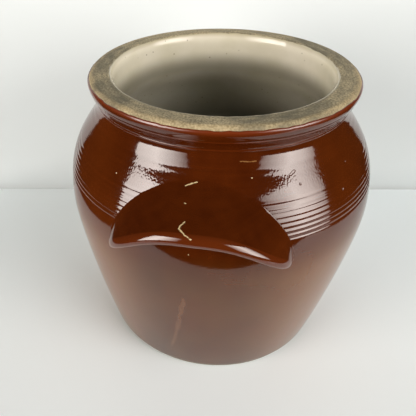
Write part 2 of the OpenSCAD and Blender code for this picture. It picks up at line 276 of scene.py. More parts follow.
def brown_glaze():
    material, tree, shader = new_material("brown_iron_glaze")
    place = add(tree, "ShaderNodeTexCoord").outputs["Object"]
    down, level, steep = [
        add(tree, "ShaderNodeMapping", {"Vector": place, "Scale": stretch}).outputs[0]
        for stretch in (DOWNWARDS, AROUND, STEEP)]
    clouds, runnels, lines, blotch, peel, grit = [
        add(tree, "ShaderNodeTexNoise", {"Vector": where, "Scale": per(size),
                                         "Detail": detail}).outputs["Fac"]
        for where, size, detail in ((place, CLOUD, 3), (down, RUNNEL, 3), (level, FINGER_LINE, 3),
                                    (place, BLOTCH, 4), (place, PEEL, 2), (steep, GRIT, 0))]
    parts = add(tree, "ShaderNodeSeparateXYZ", {0: place}).outputs
    height = parts["Z"]
    off_middle = add(tree, "ShaderNodeMath", {0: parts["X"]}, operation="ABSOLUTE").outputs[0]
    side, low, worn = [
        add(tree, "ShaderNodeMapRange", {"Value": value, "From Min": start * MM, "From Max": stop * MM},
            interpolation_type="SMOOTHSTEP").outputs[0]
        for value, start, stop in ((off_middle, MIDDLE_X, SIDE_X), (height, REFLECTION_FROM_Z, REFLECTION_FULL_Z),
                                   (height, WORN_Z, RIM_Z))]
    tone = total(tree, (clouds, 0.6), (runnels, 0.2), (lines, 0.2))
    spread, patchy = [
        add(tree, "ShaderNodeMapRange", {"Value": value, "From Min": start, "From Max": stop}).outputs[0]
        for value, start, stop in ((tone, 0.25, 0.8), (blotch, 0.35, 0.65))]
    ramp = add(tree, "ShaderNodeValToRGB", {"Fac": spread})
    set_stops(ramp, (0, linear("#2d0c01")), (1, linear("#4f2005")))
    thin = add(tree, "ShaderNodeAttribute", attribute_name="thin").outputs["Fac"]
    ragged = shaken(tree, place, RAGGED_SIZE, RAGGED_REACH)
    run = marks(tree, shaken(tree, place, RUN_BEND, RUN_REACH), RUN_W, RUN)
    scratch = marks(tree, ragged, SCRATCH_W, SCRATCH)
    chips = marks(tree, ragged, CHIP_W, SQUIGGLE, DASH, *CHIPS)
    pits = marks(tree, ragged, PIT_W, *PITS)
    colour = layered(tree, ramp.outputs[0],
                     # Painted light: a lighter, more orange brown at both sides.
                     (total(tree, (side, 0.15)), "#6b3209"),
                     # Painted reflection of the white table: a patchy coat low down, and a lighter coat low
                     # down at the sides.
                     (total(tree, (low, total(tree, (patchy, 0.3), (1.0, 0.3)))), "#4c3010"),
                     (total(tree, (low, total(tree, (side, 0.75)))), "#6e431a"),
                     (thin, "#55230a"),
                     (worn, "#5f250a"),
                     (total(tree, (run, 0.16)), "#8a6448"),
                     (total(tree, (scratch, 0.6)), "#8f6a3f"),
                     (chips, "#bdac80"))

    sandy = band(tree, height, SAND_Z, SAND_REACH)
    grits = total(tree, (grit, total(tree, (sandy, 1.6), (1.0, 0.05))))
    relief = total(tree, (peel, PEEL_H * MM), (grits, GRIT_H * MM), (lines, LINE_H * MM), (pits, PIT_H * MM),
                   (chips, CHIP_H * MM))
    bump = add(tree, "ShaderNodeBump", {"Height": relief, "Distance": 1.0, "Strength": 1.0})
    dull = total(tree, (chips, 0.6), (worn, 0.18), (1.0, 0.075))
    feed(tree, shader, {"Base Color": colour, "Normal": bump.outputs[0], "Roughness": dull, "IOR": 1.62})
    return material


BROWN = brown_glaze()
print("made", BROWN.name, "with", len(BROWN.node_tree.nodes), "nodes")

# %% [markdown]
# ## Cream glaze
# The lining is a pale feldspar glaze, poured in and swilled round. It gives the eye a soft off-white with
# greyish clouds, a few iron specks and the same wet gloss as the outside. Shade is painted into it: a dark
# band below the mouth and a darkening deeper down, where the inside lies in shadow. It thins out where it
# laps over the mouth's edge. The painted shade follows the height alone.

# %% Cream glaze
CREAM_CLOUD, CREAM_PEEL, SPECK_GAP = 35, 4, 9
SPECK_CORE, SPECK_EDGE = 0.05, 0.09
CREAM_PEEL_H = 0.02
# Painted shade inside: a dark band of this height and width below the mouth, and a darkening from the first
# height down to the second.
SHADE_BAND_Z, SHADE_BAND_W = 199, 15
SHADE_TOP_Z, SHADE_DEEPEST_Z = 184, 140
EDGE_LOW, EDGE_HIGH = 224, 227


def cream_glaze():
    material, tree, shader = new_material("cream_feldspar_glaze")
    place = add(tree, "ShaderNodeTexCoord").outputs["Object"]
    clouds, peel = [
        add(tree, "ShaderNodeTexNoise", {"Vector": place, "Scale": per(size),
                                         "Detail": detail}).outputs["Fac"]
        for size, detail in ((CREAM_CLOUD, 4), (CREAM_PEEL, 2))]
    ramp = add(tree, "ShaderNodeValToRGB", {"Fac": clouds})
    set_stops(ramp, (0.3, linear("#c5bfa7")), (0.7, linear("#d4cebc")))
    height = add(tree, "ShaderNodeSeparateXYZ", {0: place}).outputs["Z"]
    deep_shade, lap = [
        add(tree, "ShaderNodeMapRange", {"Value": height, "From Min": start * MM,
                                         "From Max": stop * MM}).outputs[0]
        for start, stop in ((SHADE_TOP_Z, SHADE_DEEPEST_Z), (EDGE_LOW, EDGE_HIGH))]
    line = band(tree, height, SHADE_BAND_Z, SHADE_BAND_W)
    dots = add(tree, "ShaderNodeTexVoronoi", {"Vector": place, "Scale": per(SPECK_GAP)}).outputs["Distance"]
    speck = add(tree, "ShaderNodeMapRange", {"Value": dots, "From Min": SPECK_CORE, "From Max": SPECK_EDGE,
                                             "To Min": 0.6, "To Max": 0.0}).outputs[0]
    colour = layered(tree, ramp.outputs[0],
                     # Painted shade: dark olive over the band below the mouth and deeper down, where the
                     # inside lies in shadow.
                     (total(tree, (line, 0.65), (deep_shade, 0.75)), "#403b2a"),
                     (total(tree, (lap, 0.7)), "#9d9170"),
                     (speck, "#5d5136"))
    relief = total(tree, (peel, CREAM_PEEL_H * MM))
    bump = add(tree, "ShaderNodeBump", {"Height": relief, "Distance": 1.0, "Strength": 1.0})
    feed(tree, shader, {"Base Color": colour, "Normal": bump.outputs[0], "Roughness": 0.08, "IOR": 1.55})
    return material


CREAM = cream_glaze()
print("made", CREAM.name, "with", len(CREAM.node_tree.nodes), "nodes")

# %% [markdown]
# ## Bare stoneware and slip
# Where no glaze reached, the clay fired to a buff, sandy stone. On the rim, years of hands have rubbed grey
# dirt into it, so its surface is dull, grainy and smudged, in streaks that follow the rim round. The
# streaks are a noise on a ring, which has no seam. The slip under the lugs is the same clay, washed fine
# and fired a little darker.

# %% Bare stoneware and slip
GRAIN, GRAIN_H = 1.3, 0.12
STREAK, STREAK_RING = 3.5, 24
SMUDGES = [[(-86, -14, 227.5), (-84, 18, 227.5)], [(-60, -66, 227.5), (-74, -48, 227.5)],
           [(30, -84, 227.5), (66, -60, 227.5)], [(58, 68, 227.5), (86, 26, 227.5)]]
SMUDGE_W, SMUDGE_BEND, SMUDGE_REACH = 20, 14, 6
# The clay is made darker over its lowest few millimetres, towards the foot.
FOOT_FADE_Z, FOOT_DARKEST_Z = 8, 4
RUBBED_FROM, RUBBED_TO = 93, 97
DARKENING_FROM, DARKENING_FULL, MOST_DARKENING = 0.4, 0.85, 0.85


def stoneware(name, dark, light, dark_tint):
    material, tree, shader = new_material(name)
    place = add(tree, "ShaderNodeTexCoord").outputs["Object"]
    flat = add(tree, "ShaderNodeVectorMath", {0: place, 1: (1, 1, 0)}, operation="MULTIPLY").outputs[0]
    radius = add(tree, "ShaderNodeVectorMath", {0: flat}, operation="LENGTH").outputs["Value"]
    out = add(tree, "ShaderNodeVectorMath", {0: flat}, operation="NORMALIZE").outputs[0]
    rise = add(tree, "ShaderNodeCombineXYZ", {"Z": radius}).outputs[0]
    ring = add(tree, "ShaderNodeVectorMath", {0: out, 1: (STREAK_RING * MM,) * 3, 2: rise},
               operation="MULTIPLY_ADD").outputs[0]
    grain, streaks = [
        add(tree, "ShaderNodeTexNoise", {"Vector": where, "Scale": per(size),
                                         "Detail": detail}).outputs["Fac"]
        for where, size, detail in ((place, GRAIN, 4), (ring, STREAK, 6))]
    ramp = add(tree, "ShaderNodeValToRGB", {"Fac": grain})
    set_stops(ramp, (0.38, linear(dark)), (0.62, linear(light)))
    smudged = marks(tree, shaken(tree, place, SMUDGE_BEND, SMUDGE_REACH), SMUDGE_W, *SMUDGES)
    height = add(tree, "ShaderNodeSeparateXYZ", {0: place}).outputs["Z"]
    darker_foot, rubbed = [
        add(tree, "ShaderNodeMapRange", {"Value": value, "From Min": start * MM,
                                         "From Max": stop * MM}).outputs[0]
        for value, start, stop in ((height, FOOT_FADE_Z, FOOT_DARKEST_Z), (radius, RUBBED_FROM, RUBBED_TO))]
    # The dirt streaks and smudges on the rim and the darker foot share one dark tint.
    dirt_and_darker_foot = total(tree, (streaks, 1.0), (smudged, 0.2), (darker_foot, 1.0))
    darkening = add(tree, "ShaderNodeMapRange", {"Value": dirt_and_darker_foot, "From Min": DARKENING_FROM, "From Max": DARKENING_FULL,
                                            "To Min": 0.0, "To Max": MOST_DARKENING}).outputs[0]
    colour = layered(tree, ramp.outputs[0], (total(tree, (rubbed, 0.25)), "#b49a6c"), (darkening, dark_tint))
    relief = total(tree, (grain, GRAIN_H * MM))
    bump = add(tree, "ShaderNodeBump", {"Height": relief, "Distance": 1.0, "Strength": 1.0})
    feed(tree, shader, {"Base Color": colour, "Normal": bump.outputs[0], "Roughness": 0.75})
    return material


CLAY = stoneware("bare_buff_stoneware", "#776c4f", "#b0a383", "#514d3d")
SLIP = stoneware("fired_luting_slip", "#8d7146", "#b0935f", "#6b5a3c")
print("made", CLAY.name, "and", SLIP.name)

# %% [markdown]
# ## The wall's outline
# A thrown pot is one outline turned round an axis. The outline here is the CAD one: three taut curves from
# the foot to the belly, the neck and the crown of the rim, and an arc over the rim's edge. It could be
# traced point by point, but a few heights and pulls keep it taut. It is kept in millimetres, as pairs of
# radius and height.

# %% The wall's outline
HEIGHT = 227.5
FOOT_R, FOOT_LEAN, FOOT_ROUND, FOOT_RING, FOOT_HOLLOW = 94.5, math.radians(16), 3, 20, 2
BELLY_R, BELLY_Z, WALL, FLOOR, HEEL_ROUND = 120, 133, 9, 11, 22
NECK_R, NECK_Z, RIM_R, RIM_ROUND = 94, 208.5, 99.25, 4.5
GLAZE = 0.8
FOOT_PULL, HEEL_PULL, SHOULDER_PULL, NECK_PULL, COLLAR_PULL = 0.25, 0.18, 0.69, 0.26, 0.36
LOWER_STEPS, SHOULDER_STEPS, COLLAR_STEPS, RIM_STEPS = 120, 200, 60, 24
UP = np.array([0.0, 1.0])


def point(radius, height):
    return np.array([radius, height], float)


def curve(a, b, c, d, steps):
    t = np.linspace(0, 1, steps + 1)[:, None]
    s = 1 - t
    return s ** 3 * a + 3 * s ** 2 * t * b + 3 * s * t ** 2 * c + t ** 3 * d


def arc(middle, radius, start, stop, steps):
    a = np.radians(np.linspace(start, stop, steps + 1))
    return middle + radius * np.column_stack([np.cos(a), np.sin(a)])


def chain(*runs):
    """Runs of points joined end to end, each without the point that the run before it ends on."""
    return np.vstack([runs[0]] + [run[1:] for run in runs[1:]])


lean = point(math.sin(FOOT_LEAN), math.cos(FOOT_LEAN))
wall_start = point(FOOT_R, 0) + FOOT_ROUND * (1 - lean[0]) / lean[1] * lean
belly, neck = point(BELLY_R, BELLY_Z), point(NECK_R, NECK_Z)
crown = point(RIM_R, HEIGHT - RIM_ROUND)
lower_h, shoulder_h, collar_h = BELLY_Z - wall_start[1], NECK_Z - BELLY_Z, crown[1] - NECK_Z
wall = chain(
    curve(wall_start, wall_start + FOOT_PULL * lower_h * lean, belly - HEEL_PULL * lower_h * UP, belly,
          LOWER_STEPS),
    curve(belly, belly + SHOULDER_PULL * shoulder_h * UP, neck - NECK_PULL * shoulder_h * UP, neck,
          SHOULDER_STEPS),
    curve(neck, neck + COLLAR_PULL * collar_h * UP, crown - COLLAR_PULL * collar_h * UP, crown, COLLAR_STEPS),
    arc(crown - point(RIM_ROUND, 0), RIM_ROUND, 0, 90, RIM_STEPS))
cad_low, cad_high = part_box("stoneware_body")
print(f"belly {2 * wall[:, 0].max():.1f} mm, CAD {(cad_high.x - cad_low.x) / MM:.1f} mm")

# %% [markdown]
# Grooves, beads and lugs stand on the wall, so three small functions read the outline at any height: its
# radius, its points and the direction straight out of it.

# %% Places on the wall
SLOPE_STEP = 0.4


def wall_r(z):
    return np.interp(z, wall[:, 1], wall[:, 0])


def on_wall(z):
    return np.column_stack([wall_r(z), z])


def off_wall(z):
    """Direction straight out of the wall at each height."""
    along = on_wall(z + SLOPE_STEP) - on_wall(z - SLOPE_STEP)
    return np.column_stack([along[:, 1], -along[:, 0]]) / np.linalg.norm(along, axis=1)[:, None]


print(f"the wall is {wall_r(NECK_Z):.1f} mm from the axis at the neck")

# %% [markdown]
# ## Turned on the wheel
# Three pieces are turned: the clay body, the lining and the outer coat. A Screw modifier could turn an
# outline too, but a node tree can also give each turned piece the small faults of handwork. The tree
# carries the outline round a circle, lets a glaze edge wander up and down the wall, and pushes the wall in
# by a slow noise, the same for every layer, so that the layers stay on each other.

# %% The wheel's node tree
MERGE = 0.005


def wheel_tree():
    tree = bpy.data.node_groups.new("turned_on_the_wheel", "GeometryNodeTree")
    sockets = {}
    for name, kind in (("Outline", "NodeSocketGeometry"), ("Steps Round", "NodeSocketInt"),
                       ("Wheel Radius", "NodeSocketFloat"), ("Unevenness", "NodeSocketFloat"),
                       ("Uneven Size", "NodeSocketFloat"), ("Edge Wander", "NodeSocketFloat"),
                       ("Wander Size", "NodeSocketFloat"), ("Seed", "NodeSocketFloat"),
                       ("Finish", "NodeSocketMaterial")):
        sockets[name] = tree.interface.new_socket(name, in_out="INPUT", socket_type=kind)
    tree.interface.new_socket("Piece", in_out="OUTPUT", socket_type="NodeSocketGeometry")
    given = add(tree, "NodeGroupInput").outputs
    outline = add(tree, "GeometryNodeMeshToCurve", {"Mesh": given["Outline"]})
    inwards = add(tree, "ShaderNodeMath", {0: 0.0, 1: given["Wheel Radius"]}, operation="SUBTRACT")
    shift = add(tree, "ShaderNodeCombineXYZ", {"X": inwards.outputs[0]})
    moved = add(tree, "GeometryNodeTransform", {"Geometry": outline.outputs[0],
                                                "Translation": shift.outputs[0]})
    circle = add(tree, "GeometryNodeCurvePrimitiveCircle", {"Resolution": given["Steps Round"],
                                                            "Radius": given["Wheel Radius"]})
    upright = add(tree, "GeometryNodeSetCurveNormal", {"Curve": circle.outputs[0]}, mode="Z_UP")
    turned = add(tree, "GeometryNodeCurveToMesh", {"Curve": upright.outputs[0],
                                                   "Profile Curve": moved.outputs[0]})
    place = add(tree, "GeometryNodeInputPosition").outputs[0]
    flat = add(tree, "ShaderNodeVectorMath", {0: place, 1: (1, 1, 0)}, operation="MULTIPLY")
    out = add(tree, "ShaderNodeVectorMath", {0: flat.outputs[0]}, operation="NORMALIZE").outputs[0]

    ring = add(tree, "ShaderNodeVectorMath", {0: out, "Scale": given["Wheel Radius"]}, operation="SCALE")
    often, slow = [
        add(tree, "ShaderNodeMath", {0: 1.0, 1: given[size]}, operation="DIVIDE").outputs[0]
        for size in ("Wander Size", "Uneven Size")]
    wander = add(tree, "ShaderNodeTexNoise", {"Vector": ring.outputs[0], "W": given["Seed"], "Scale": often,
                                              "Detail": 4.0}, noise_dimensions="4D")
    swing = add(tree, "ShaderNodeMath", {0: wander.outputs["Fac"], 1: 0.5}, operation="SUBTRACT")
    reach = add(tree, "ShaderNodeMath", {0: swing.outputs[0], 1: given["Edge Wander"]}, operation="MULTIPLY")
    slide = add(tree, "GeometryNodeInputNamedAttribute", {"Name": "slide"}, data_type="FLOAT_VECTOR")
    parts = add(tree, "ShaderNodeSeparateXYZ", {0: slide.outputs[0]})
    sideways = add(tree, "ShaderNodeVectorMath", {0: out, "Scale": parts.outputs["X"]}, operation="SCALE")
    upwards = add(tree, "ShaderNodeCombineXYZ", {"Z": parts.outputs["Y"]})
    along = add(tree, "ShaderNodeVectorMath", {0: sideways.outputs[0], 1: upwards.outputs[0]},
                operation="ADD")
    slid = add(tree, "ShaderNodeVectorMath", {0: along.outputs[0], "Scale": reach.outputs[0]},
               operation="SCALE")
    edged = add(tree, "GeometryNodeSetPosition", {"Geometry": turned.outputs[0], "Offset": slid.outputs[0]})

    hand = add(tree, "ShaderNodeTexNoise", {"Vector": place, "Scale": slow, "Detail": 1.0})
    less = add(tree, "ShaderNodeMath", {0: hand.outputs["Fac"], 1: 1.0}, operation="SUBTRACT")
    push = add(tree, "ShaderNodeMath", {0: less.outputs[0], 1: given["Unevenness"]}, operation="MULTIPLY")
    pushed = add(tree, "ShaderNodeVectorMath", {0: out, "Scale": push.outputs[0]}, operation="SCALE")
    uneven = add(tree, "GeometryNodeSetPosition", {"Geometry": edged.outputs[0], "Offset": pushed.outputs[0]})
    closed = add(tree, "GeometryNodeMergeByDistance", {"Geometry": uneven.outputs[0], "Distance": MERGE * MM})
    clean = add(tree, "GeometryNodeRemoveAttribute", {"Geometry": closed.outputs[0], "Name": "slide"})
    smooth = add(tree, "GeometryNodeSetShadeSmooth", {"Geometry": clean.outputs[0]})
    real = add(tree, "GeometryNodeRealizeInstances", {"Geometry": smooth.outputs[0]})
    finished = add(tree, "GeometryNodeSetMaterial", {"Geometry": real.outputs[0],
                                                     "Material": given["Finish"]})
    add(tree, "NodeGroupOutput", {"Piece": finished.outputs[0]})
    return tree, {name: socket.identifier for name, socket in sockets.items()}


WHEEL, WHEEL_INPUT = wheel_tree()
print("wheel tree has", len(WHEEL.nodes), "nodes")

# %% [markdown]
# The outline goes in as a chain of edges. The tree's result is then made a plain mesh, because the piece
# has to stand without its modifier, and its faces are turned outwards. Points that meet on the axis are
# pushed apart by the unevenness, so a floor keeps a pinhole at its middle, about half a millimetre wide.

# %% Turning a piece
STEPS_ROUND = 280
UNEVENNESS, UNEVEN_SIZE = 0.5, 70
EDGE_WANDER, WANDER_SIZE, WANDER_SEED = 2.4, 9, 3.0


def finish_mesh(mesh):
    work = bmesh.new()
    work.from_mesh(mesh)
    inside_out = work.calc_volume(signed=True) < 0
    work.free()
    if inside_out:
        mesh.flip_normals()


def settle(piece, slot, *nodes):
    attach(piece, "root")
    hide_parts(*nodes)
    print(piece.name, "has", sum(len(f.vertices) - 2 for f in piece.data.polygons), "triangles")


def turned(name, outline, finish, closed=False, slide=None, thin=None):
    count = len(outline)
    edges = [(i, (i + 1) % count) for i in range(count if closed else count - 1)]
    mesh = bpy.data.meshes.new(name + "_outline")
    mesh.from_pydata([(r * MM, -z * MM, 0) for r, z in outline], edges, [])
    slides = np.zeros((count, 3)) if slide is None else slide
    mesh.attributes.new("slide", "FLOAT_VECTOR", "POINT").data.foreach_set("vector", slides.ravel())
    thins = np.zeros(count) if thin is None else thin
    mesh.attributes.new("thin", "FLOAT", "POINT").data.foreach_set("value", thins)
    piece = bpy.data.objects.new(name, mesh)
    bpy.context.scene.collection.objects.link(piece)
    wheel = piece.modifiers.new("wheel", "NODES")
    wheel.node_group = WHEEL
    for key, value in (("Steps Round", STEPS_ROUND), ("Wheel Radius", BELLY_R * MM),
                       ("Unevenness", UNEVENNESS * MM), ("Uneven Size", UNEVEN_SIZE * MM),
                       ("Edge Wander", EDGE_WANDER * MM), ("Wander Size", WANDER_SIZE * MM),
                       ("Seed", WANDER_SEED), ("Finish", finish)):
        wheel[WHEEL_INPUT[key]] = value
    made = bpy.data.meshes.new_from_object(piece.evaluated_get(bpy.context.evaluated_depsgraph_get()))
    piece.modifiers.clear()
    piece.data = made
    made.name = name
    bpy.data.meshes.remove(mesh)
    finish_mesh(made)
    return piece


print("pieces are turned in", STEPS_ROUND, "steps")

# %% [markdown]
# ## The clay body
# The body is one outline from the middle of the underside, round the foot, up the wall, over the rim and
# down the inside to the middle of the floor. Use has worn the mouth's edge to a deep, soft round, so it is
# an ellipse here, deeper than the arc of the CAD outline, because the light inside the mouth shows it.

# %% The inside of the clay
MOUTH_R, MOUTH_ROUND, MOUTH_DEEP, LAP_ANGLE, THROAT_Z = 82, 3.5, 9, 112, 200.5
HEEL_STEPS, EDGE_STEPS, INSIDE_STEPS = 20, 30, 40
THROAT_POINTS, FLOOR_POINTS = 16, 12
heel_reach = WALL + HEEL_ROUND
heel_rise = (FLOOR + HEEL_ROUND - heel_reach * lean[0]) / lean[1]
heel_middle = point(FOOT_R, 0) + heel_rise * lean - heel_reach * point(lean[1], -lean[0])
heel = arc(heel_middle, HEEL_ROUND, -math.degrees(FOOT_LEAN), -90, HEEL_STEPS)
inner_belly, throat = point(BELLY_R - WALL, BELLY_Z), point(MOUTH_R, THROAT_Z)
inner_shoulder_h, inner_lower_h = THROAT_Z - BELLY_Z, BELLY_Z - heel[0][1]


def mouth_edge(start, stop, steps):
    """The mouth's worn edge, an ellipse that is deeper than it is wide."""
    a = np.radians(np.linspace(start, stop, steps + 1))
    return np.column_stack([MOUTH_R + MOUTH_ROUND * (1 + np.cos(a)), HEIGHT - MOUTH_DEEP * (1 - np.sin(a))])


inside = chain(
    mouth_edge(LAP_ANGLE, 180, EDGE_STEPS),
    np.column_stack([np.full(THROAT_POINTS, MOUTH_R),
                     np.linspace(HEIGHT - MOUTH_DEEP, THROAT_Z, THROAT_POINTS)]),
    curve(throat, throat - NECK_PULL * inner_shoulder_h * UP,
          inner_belly + SHOULDER_PULL * inner_shoulder_h * UP, inner_belly, INSIDE_STEPS),
    curve(inner_belly, inner_belly - HEEL_PULL * inner_lower_h * UP,
          heel[0] + FOOT_PULL * inner_lower_h * lean, heel[0], INSIDE_STEPS),
    heel,
    np.column_stack([np.linspace(heel[-1][0], 0, FLOOR_POINTS), np.full(FLOOR_POINTS, FLOOR)]))
print("the inside is", len(inside), "points from the mouth's edge to the middle of the floor")

# %% The clay body
FOOT_STEPS, RIM_POINTS, LAP_STEPS, WALL_SKIP = 10, 14, 10, 3
hollow_r = FOOT_R - FOOT_RING
foot_middle = wall_start + FOOT_ROUND * point(-lean[1], lean[0])
body_outline = chain(
    np.array([point(0, FOOT_HOLLOW), point(hollow_r - FOOT_HOLLOW, FOOT_HOLLOW), point(hollow_r, 0),
              point(foot_middle[0], 0)]),
    arc(foot_middle, FOOT_ROUND, -90, -math.degrees(FOOT_LEAN), FOOT_STEPS),
    wall[::WALL_SKIP],
    np.column_stack([np.linspace(RIM_R - RIM_ROUND, MOUTH_R + MOUTH_ROUND, RIM_POINTS),
                     np.full(RIM_POINTS, HEIGHT)]),
    mouth_edge(90, LAP_ANGLE, LAP_STEPS),
    inside)
body = turned("stoneware_body_fired", body_outline, CLAY)
settle(body, "stoneware", "stoneware_body")

# %% [markdown]
# ## The lining
# The cream glaze is a skin on the inside of the clay. It laps over the mouth's edge until it is nearly
# level with the rim, and its edge thins out in a bead. A Solidify modifier could thicken a copy of the
# inside, but an outline that goes down the clay and comes back a glaze's thickness away gives the bead too.

# %% The lining
LAP_BEAD, LAP_SLIDE = 1.5, 5
LEAST_EDGE = 0.05


def directions(path):
    """Direction of a path at each of its points."""
    along = np.gradient(path, axis=0)
    return along / np.linalg.norm(along, axis=1)[:, None]


steps_down = np.linalg.norm(np.diff(inside, axis=0), axis=1)
from_lap = np.concatenate([[0], np.cumsum(steps_down)])
rounded = np.sqrt(1 - np.clip(1 - from_lap / LAP_BEAD, 0, 1) ** 2)
lap_t = GLAZE * np.maximum(rounded, LEAST_EDGE)
down_inside = directions(inside)
glassy = inside + lap_t[:, None] * np.column_stack([down_inside[:, 1], -down_inside[:, 0]])
glassy[-1][0] = 0
lap_weight = np.clip(1 - from_lap / LAP_SLIDE, 0, 1)
lap_slide = np.column_stack([lap_weight[:, None] * down_inside, 0 * lap_weight])
lining = turned("cream_lining", np.vstack([inside[::-1], glassy]), CREAM,
                slide=np.vstack([lap_slide[::-1], lap_slide]))
settle(lining, "cream_glaze", "inner_glaze")

# %% [markdown]
# ## The outer coat
# The coat runs from above the foot to the edge of the rim. Eight combed grooves, two soft throwing rings
# and two fine beads are in its outline, so they catch the light as real relief. They are a little softer
# than on the CAD model, as the highlights show them. Both edges of the coat thin out in a round bead, and
# the upper edge wanders, as a dipped edge does.

# %% The outer coat's relief
COMB_COUNT, COMB_PITCH, COMB_DROP, COMB_W, COMB_DEPTH = 8, 3.4, 48.7, 3.0, 0.25
RING_PITCH, RING_DROP, RING_W, RING_H = 5.5, 27.5, 5.5, (0.1, 0.07)
BEAD_COUNT, BEAD_PITCH, BEAD_DROP, BEAD_W, BEAD_H = 2, 7.2, 10.8, 1.8, 0.32


def swell(x):
    return np.where(abs(x) < 0.5, (1 + np.cos(2 * np.pi * x)) / 2, 0)


def lines_round(z, pitch, drop, width, heights):
    """Height of lines round the pot, the first at this drop below the rim and each a pitch lower."""
    return sum(height * swell((z - (HEIGHT - drop - i * pitch)) / width) for i, height in enumerate(heights))


def beads_at(z):
    return lines_round(z, BEAD_PITCH, BEAD_DROP, BEAD_W, [BEAD_H] * BEAD_COUNT)


def coat_relief(z):
    return (lines_round(z, COMB_PITCH, COMB_DROP, COMB_W, [-COMB_DEPTH] * COMB_COUNT)
            + lines_round(z, RING_PITCH, RING_DROP, RING_W, RING_H)
            + beads_at(z))


print(f"grooves from {HEIGHT - COMB_DROP:.1f} mm down, in steps of {COMB_PITCH} mm")

# %% The outer coat
FOOT_BARE, RIM_BARE = 4, 2.6
EDGE_BEAD, SLIDE_LENGTH, BEAD_THIN = 1.2, 9, 0.5
FIRST_STEP, PLAIN_STEP, RELIEF_STEP = 2, 3.0, 0.42
LOW_EDGE_POINTS, HIGH_EDGE_POINTS = 5, 7
coat_low, coat_high = FOOT_BARE, HEIGHT - RIM_BARE
comb_low = HEIGHT - COMB_DROP - COMB_COUNT * COMB_PITCH
levels = np.concatenate([np.linspace(coat_low, coat_low + EDGE_BEAD, LOW_EDGE_POINTS),
                         np.arange(coat_low + EDGE_BEAD + FIRST_STEP, comb_low, PLAIN_STEP),
                         np.arange(comb_low, coat_high - EDGE_BEAD, RELIEF_STEP),
                         np.linspace(coat_high - EDGE_BEAD, coat_high, HIGH_EDGE_POINTS)])
from_edge = np.minimum(levels - coat_low, coat_high - levels) / EDGE_BEAD
beaded = np.sqrt(1 - np.clip(1 - from_edge, 0, 1) ** 2)
thickness = GLAZE * np.maximum(beaded, LEAST_EDGE) + coat_relief(levels)
outer = on_wall(levels) + thickness[:, None] * off_wall(levels)
inner = on_wall(levels[::-2])
coat_outline = np.vstack([outer, inner])
weight = np.clip(1 - (coat_high - coat_outline[:, 1]) / SLIDE_LENGTH, 0, 1)
out_of_wall = off_wall(coat_outline[:, 1])
coat_slide = np.column_stack([-weight * out_of_wall[:, 1], weight * out_of_wall[:, 0], 0 * weight])
ridges = np.concatenate([beads_at(levels) / BEAD_H, np.zeros(len(inner))])
coat = turned("brown_outer_coat", coat_outline, BROWN, closed=True, slide=coat_slide, thin=BEAD_THIN * ridges)
settle(coat, "brown_glaze", "outer_glaze")

# %% [markdown]
# ## The lugs
# A lug is a slab of clay pressed on the shoulder like an awning: its upper face leaves the wall, levels
# out and rolls over a round lip, and the fingers go under it. It is built from slices across the pot, each
# drawn as an outline and joined to the next. Sculpting would give the form too, but slices keep it on the
# same sizes as the CAD lug.

# %% A slice of a lug
LUG_DROP, LUG_H, LUG_HALF_W, LUG_REACH, LIP_DROP = 36, 52, 62.5, 23.9, 19
LUG_T, ROOT_DROP, LIP_SLOPE = 8.4, 3, math.radians(28)
LUTING, EDGE_T, SEAT_GAP, SEAT_LIFT = 0.4, 0.4, 0.1, 0.05
SINK, FILLET, FILLET_SHARE = 0.2, 1.2, 0.3
TOP_PULL, LIP_PULL, LOW_PULL = 0.1, 0.15, 0.4
LIP_BOW, JOIN_BOW, LIP_TAPER, NOSE_POWER = 1.22, 1.3, 0.9, 12
FACE_STEPS, LIP_STEPS = 30, 18
lug_top = HEIGHT - LUG_DROP
lug_end, lip_mid = lug_top - LUG_H, lug_top - LIP_DROP
lip_dir = point(math.cos(LIP_SLOPE), -math.sin(LIP_SLOPE))
lip_up = point(math.sin(LIP_SLOPE), math.cos(LIP_SLOPE))


def wall_out(x, z, above):
    """Distance in front of the axis of the wall at height z and x to the side."""
    return math.sqrt((float(wall_r(z)) + above) ** 2 - x * x)


def slice_outline(turn, coat, base):
    """Outline of a slice as distances in front and heights, with coat the glaze on the clay."""
    x = (LUG_HALF_W + coat) * math.sin(turn)
    share = min(abs(x) / LUG_HALF_W, 1)
    full, nose = math.cos(turn), math.sqrt(1 - share ** NOSE_POWER)
    out = (1 - share ** 2) ** LIP_TAPER
    lip_z = lug_end + (lip_mid - lug_end) * math.cos(math.pi / 2 * share ** LIP_BOW)
    top_z = lug_end + LUG_H * full ** JOIN_BOW + coat
    root_z = lip_z - ROOT_DROP * nose - coat
    clay_r = LUG_T / 2 * nose
    seat = LUTING + EDGE_T + 2 * GLAZE + clay_r
    edge = GLAZE - SINK if coat else LUTING + SEAT_LIFT
    top, root = point(wall_out(x, top_z, edge), top_z), point(wall_out(x, root_z, edge), root_z)
    lip = point(wall_out(x, lip_z, seat * (1 - out)) + LUG_REACH * out, lip_z)
    lip_r = clay_r + coat
    top_edge, low_edge = lip + lip_r * lip_up, lip - lip_r * lip_up
    run, low_run = np.linalg.norm(top_edge - top) * full, np.linalg.norm(low_edge - root) * full
    off_top, off_root = off_wall(np.array([top_z, root_z]))
    down_wall = point(off_top[1], -off_top[0])
    fillet = TOP_PULL * run * full ** 2 + min(FILLET, FILLET_SHARE * np.linalg.norm(top_edge - top))
    slope = math.degrees(LIP_SLOPE)
    outline = chain(
        curve(top, top + fillet * down_wall, top_edge - LIP_PULL * run * lip_dir, top_edge, FACE_STEPS),
        arc(lip, lip_r, 90 - slope, -90 - slope, LIP_STEPS),
        curve(low_edge, low_edge - LOW_PULL * low_run * lip_dir, root + LOW_PULL * low_run * off_root, root,
              FACE_STEPS))
    ends = [point(wall_out(x, z, base), z) for z in (top_z, root_z)]
    flat = np.vstack([ends[0], outline, ends[1]])
    return np.column_stack([np.full(len(flat), x), -flat[:, 0], flat[:, 1]])


